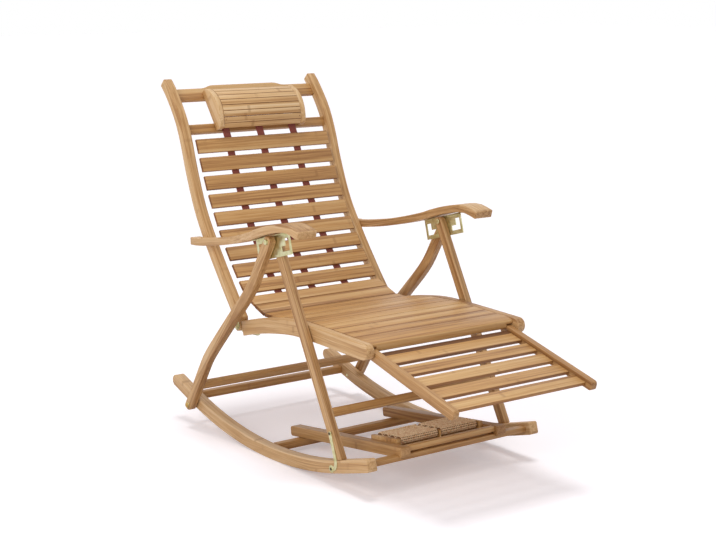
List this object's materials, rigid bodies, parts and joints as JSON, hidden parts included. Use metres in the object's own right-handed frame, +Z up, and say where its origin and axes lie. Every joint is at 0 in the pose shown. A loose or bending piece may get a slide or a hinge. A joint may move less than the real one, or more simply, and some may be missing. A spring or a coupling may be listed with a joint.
{
  "type": "folding rocking chair",
  "caption": "Folding lounge rocking chair of slatted bamboo with curved rockers, wide arms, a headrest, a pull-out footrest and a foot roller set.",
  "frame": {"origin": "middle of the chair's bounding box at the floor, chair unfolded with the footrest pulled out", "axes": "+Z up, the chair faces -Y, +X is on the sitter's left hand"},
  "size_m": [0.62, 1.2208, 0.9391],
  "materials": {
    "bamboo": "satin lacquer",
    "bamboo_dark": "satin lacquer",
    "zinc": "pale yellow zinc plating",
    "webbing": "woven",
    "roller_wood": "satin lacquer"
  },
  "bodies": {
    "base": {"rocker_left": "bamboo", "rocker_right": "bamboo", "rocker_bar_front": "bamboo_dark", "rocker_bar_middle": "bamboo_dark", "rocker_bar_rear": "bamboo_dark", "roller_set_side_left": "bamboo", "roller_set_side_right": "bamboo", "roller_set_bar": "bamboo_dark", "roller_tray": "bamboo"},
    "rear_legs": {"rear_leg_left": "bamboo", "rear_leg_right": "bamboo", "rear_leg_bar": "bamboo_dark"},
    "front_legs": {"front_leg_left": "bamboo", "front_leg_right": "bamboo", "front_leg_bar": "bamboo_dark"},
    "seat": {"seat_rail_left": "bamboo", "seat_rail_right": "bamboo", "seat_slats": "bamboo_dark", "nose_slat": "bamboo_dark", "hinge_plate_left": "zinc", "hinge_plate_right": "zinc"},
    "back": {"stile_left": "bamboo", "stile_right": "bamboo", "top_rail": "bamboo_dark", "second_rail": "bamboo_dark", "back_slat_01": "bamboo_dark", "back_slat_02": "bamboo_dark", "back_slat_03": "bamboo_dark", "back_slat_04": "bamboo_dark", "back_slat_05": "bamboo_dark", "back_slat_06": "bamboo_dark", "back_slat_07": "bamboo_dark", "back_slat_08": "bamboo_dark", "back_slat_09": "bamboo_dark", "back_slat_10": "bamboo_dark", "strap_left": "webbing", "strap_middle": "webbing", "strap_right": "webbing", "headrest_side_left": "bamboo", "headrest_side_right": "bamboo", "headrest_slats": "bamboo_dark"},
    "arms": {"arm_left": "bamboo", "arm_right": "bamboo", "arm_bracket_left": "zinc", "arm_bracket_right": "zinc"},
    "footrest_runners": {"footrest_runner_left": "zinc", "footrest_runner_right": "zinc"},
    "footrest": {"footrest_rail_left": "bamboo", "footrest_rail_right": "bamboo", "footrest_slat_1": "bamboo_dark", "footrest_slat_2": "bamboo_dark", "footrest_slat_3": "bamboo_dark", "footrest_slat_4": "bamboo_dark", "footrest_slat_5": "bamboo_dark"},
    "latch_left": {"latch_left": "zinc"},
    "latch_right": {"latch_right": "zinc"},
    "roller_1": {"roller_1": "roller_wood"},
    "roller_2": {"roller_2": "roller_wood"},
    "roller_3": {"roller_3": "roller_wood"},
    "roller_4": {"roller_4": "roller_wood"}
  },
  "joints": [
    {"name": "fold", "type": "hinge", "parent": "rear_legs", "child": "front_legs", "pos_m": [0, 0.02427, 0.56981], "axis": [1, 0, 0], "range_deg": [0, 55]},
    {"name": "rear_legs_lean", "type": "hinge", "parent": "base", "child": "rear_legs", "pos_m": [0, 0.42427, 0.06384], "axis": [-1, 0, 0], "range_deg": [0, 12.2]},
    {"name": "seat_lift", "type": "hinge", "parent": "front_legs", "child": "seat", "pos_m": [0, -0.09115, 0.35484], "axis": [1, 0, 0], "range_deg": [0, 38.6]},
    {"name": "back_fold", "type": "hinge", "parent": "seat", "child": "back", "pos_m": [0, 0.23527, 0.31581], "axis": [-1, 0, 0], "range_deg": [0, 41.9]},
    {"name": "arms_lift", "type": "hinge", "parent": "rear_legs", "child": "arms", "pos_m": [0, 0.02427, 0.56981], "axis": [1, 0, 0], "range_deg": [0, 88.4]},
    {"name": "footrest_tuck", "type": "hinge", "parent": "seat", "child": "footrest_runners", "pos_m": [0, -0.18504, -0.6654], "axis": [-1, 0, 0], "range_deg": [0, 20.4]},
    {"name": "footrest_slide", "type": "hinge", "parent": "footrest_runners", "child": "footrest", "pos_m": [0, -0.18504, -0.6654], "axis": [-1, 0, 0], "range_deg": [0, 15.2]},
    {"name": "latch_left_swing", "type": "hinge", "parent": "front_legs", "child": "latch_left", "pos_m": [-0.27, -0.21115, 0.13133], "axis": [-1, 0, 0], "range_deg": [0, 90]},
    {"name": "latch_right_swing", "type": "hinge", "parent": "front_legs", "child": "latch_right", "pos_m": [0.27, -0.21115, 0.13133], "axis": [-1, 0, 0], "range_deg": [0, 90]},
    {"name": "roller_1_spin", "type": "hinge", "parent": "base", "child": "roller_1", "pos_m": [0, -0.28606, 0.10561], "axis": [1, 0, 0], "continuous": true},
    {"name": "roller_2_spin", "type": "hinge", "parent": "base", "child": "roller_2", "pos_m": [0, -0.26124, 0.10267], "axis": [1, 0, 0], "continuous": true},
    {"name": "roller_3_spin", "type": "hinge", "parent": "base", "child": "roller_3", "pos_m": [0, -0.23641, 0.09973], "axis": [1, 0, 0], "continuous": true},
    {"name": "roller_4_spin", "type": "hinge", "parent": "base", "child": "roller_4", "pos_m": [0, -0.21158, 0.09679], "axis": [1, 0, 0], "continuous": true}
  ],
  "couplings": [
    {"joint": "rear_legs_lean", "follows": "fold", "ratio": 0.22},
    {"joint": "seat_lift", "follows": "fold", "ratio": 0.7},
    {"joint": "back_fold", "follows": "fold", "ratio": 0.76},
    {"joint": "arms_lift", "follows": "fold", "ratio": 1.605},
    {"joint": "footrest_tuck", "follows": "fold", "ratio": 0.37}
  ]
}
